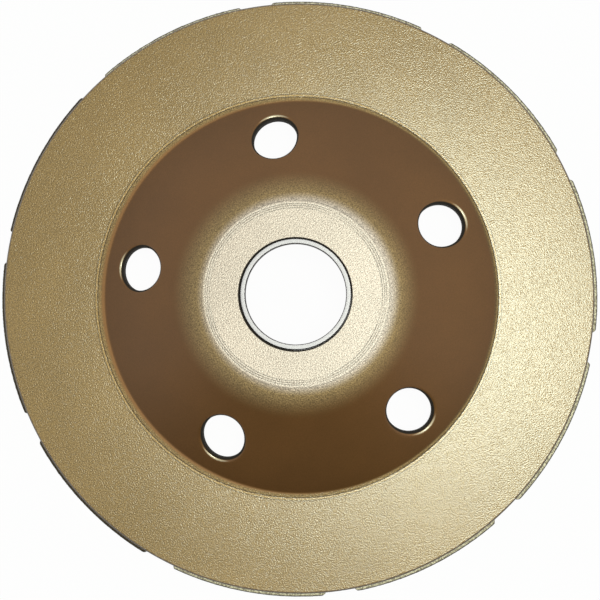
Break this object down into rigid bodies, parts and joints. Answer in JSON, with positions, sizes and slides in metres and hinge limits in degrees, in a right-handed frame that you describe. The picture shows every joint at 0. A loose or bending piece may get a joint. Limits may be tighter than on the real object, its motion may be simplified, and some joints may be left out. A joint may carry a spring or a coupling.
{
  "type": "diamond grinding disc",
  "caption": "Diamond cup wheel for an angle grinder: gold-painted pressed steel cup with a raised hub, round vents in its slope and sintered abrasive segments under its flat rim.",
  "frame": {"origin": "on the wheel's axis, in the plane of the segments' working faces, on which the wheel lies", "axes": "+Z along the axis, out of the hub towards the machine; +X through the centre of a vent and of the slot behind it"},
  "size_m": [0.1248, 0.125, 0.0207],
  "materials": {
    "gold_paint": "satin gold paint with fine metal flake over pressed and turned steel",
    "sintered_matrix": "matt sintered metal matrix with diamond grit",
    "bright_steel": "turned bare steel"
  },
  "bodies": {
    "root": {"wheel_body": "gold_paint", "segment_01": "sintered_matrix", "segment_02": "sintered_matrix", "segment_03": "sintered_matrix", "segment_04": "sintered_matrix", "segment_05": "sintered_matrix", "segment_06": "sintered_matrix", "segment_07": "sintered_matrix", "segment_08": "sintered_matrix", "segment_09": "sintered_matrix", "segment_10": "sintered_matrix", "reducing_ring": "bright_steel"}
  },
  "joints": []
}
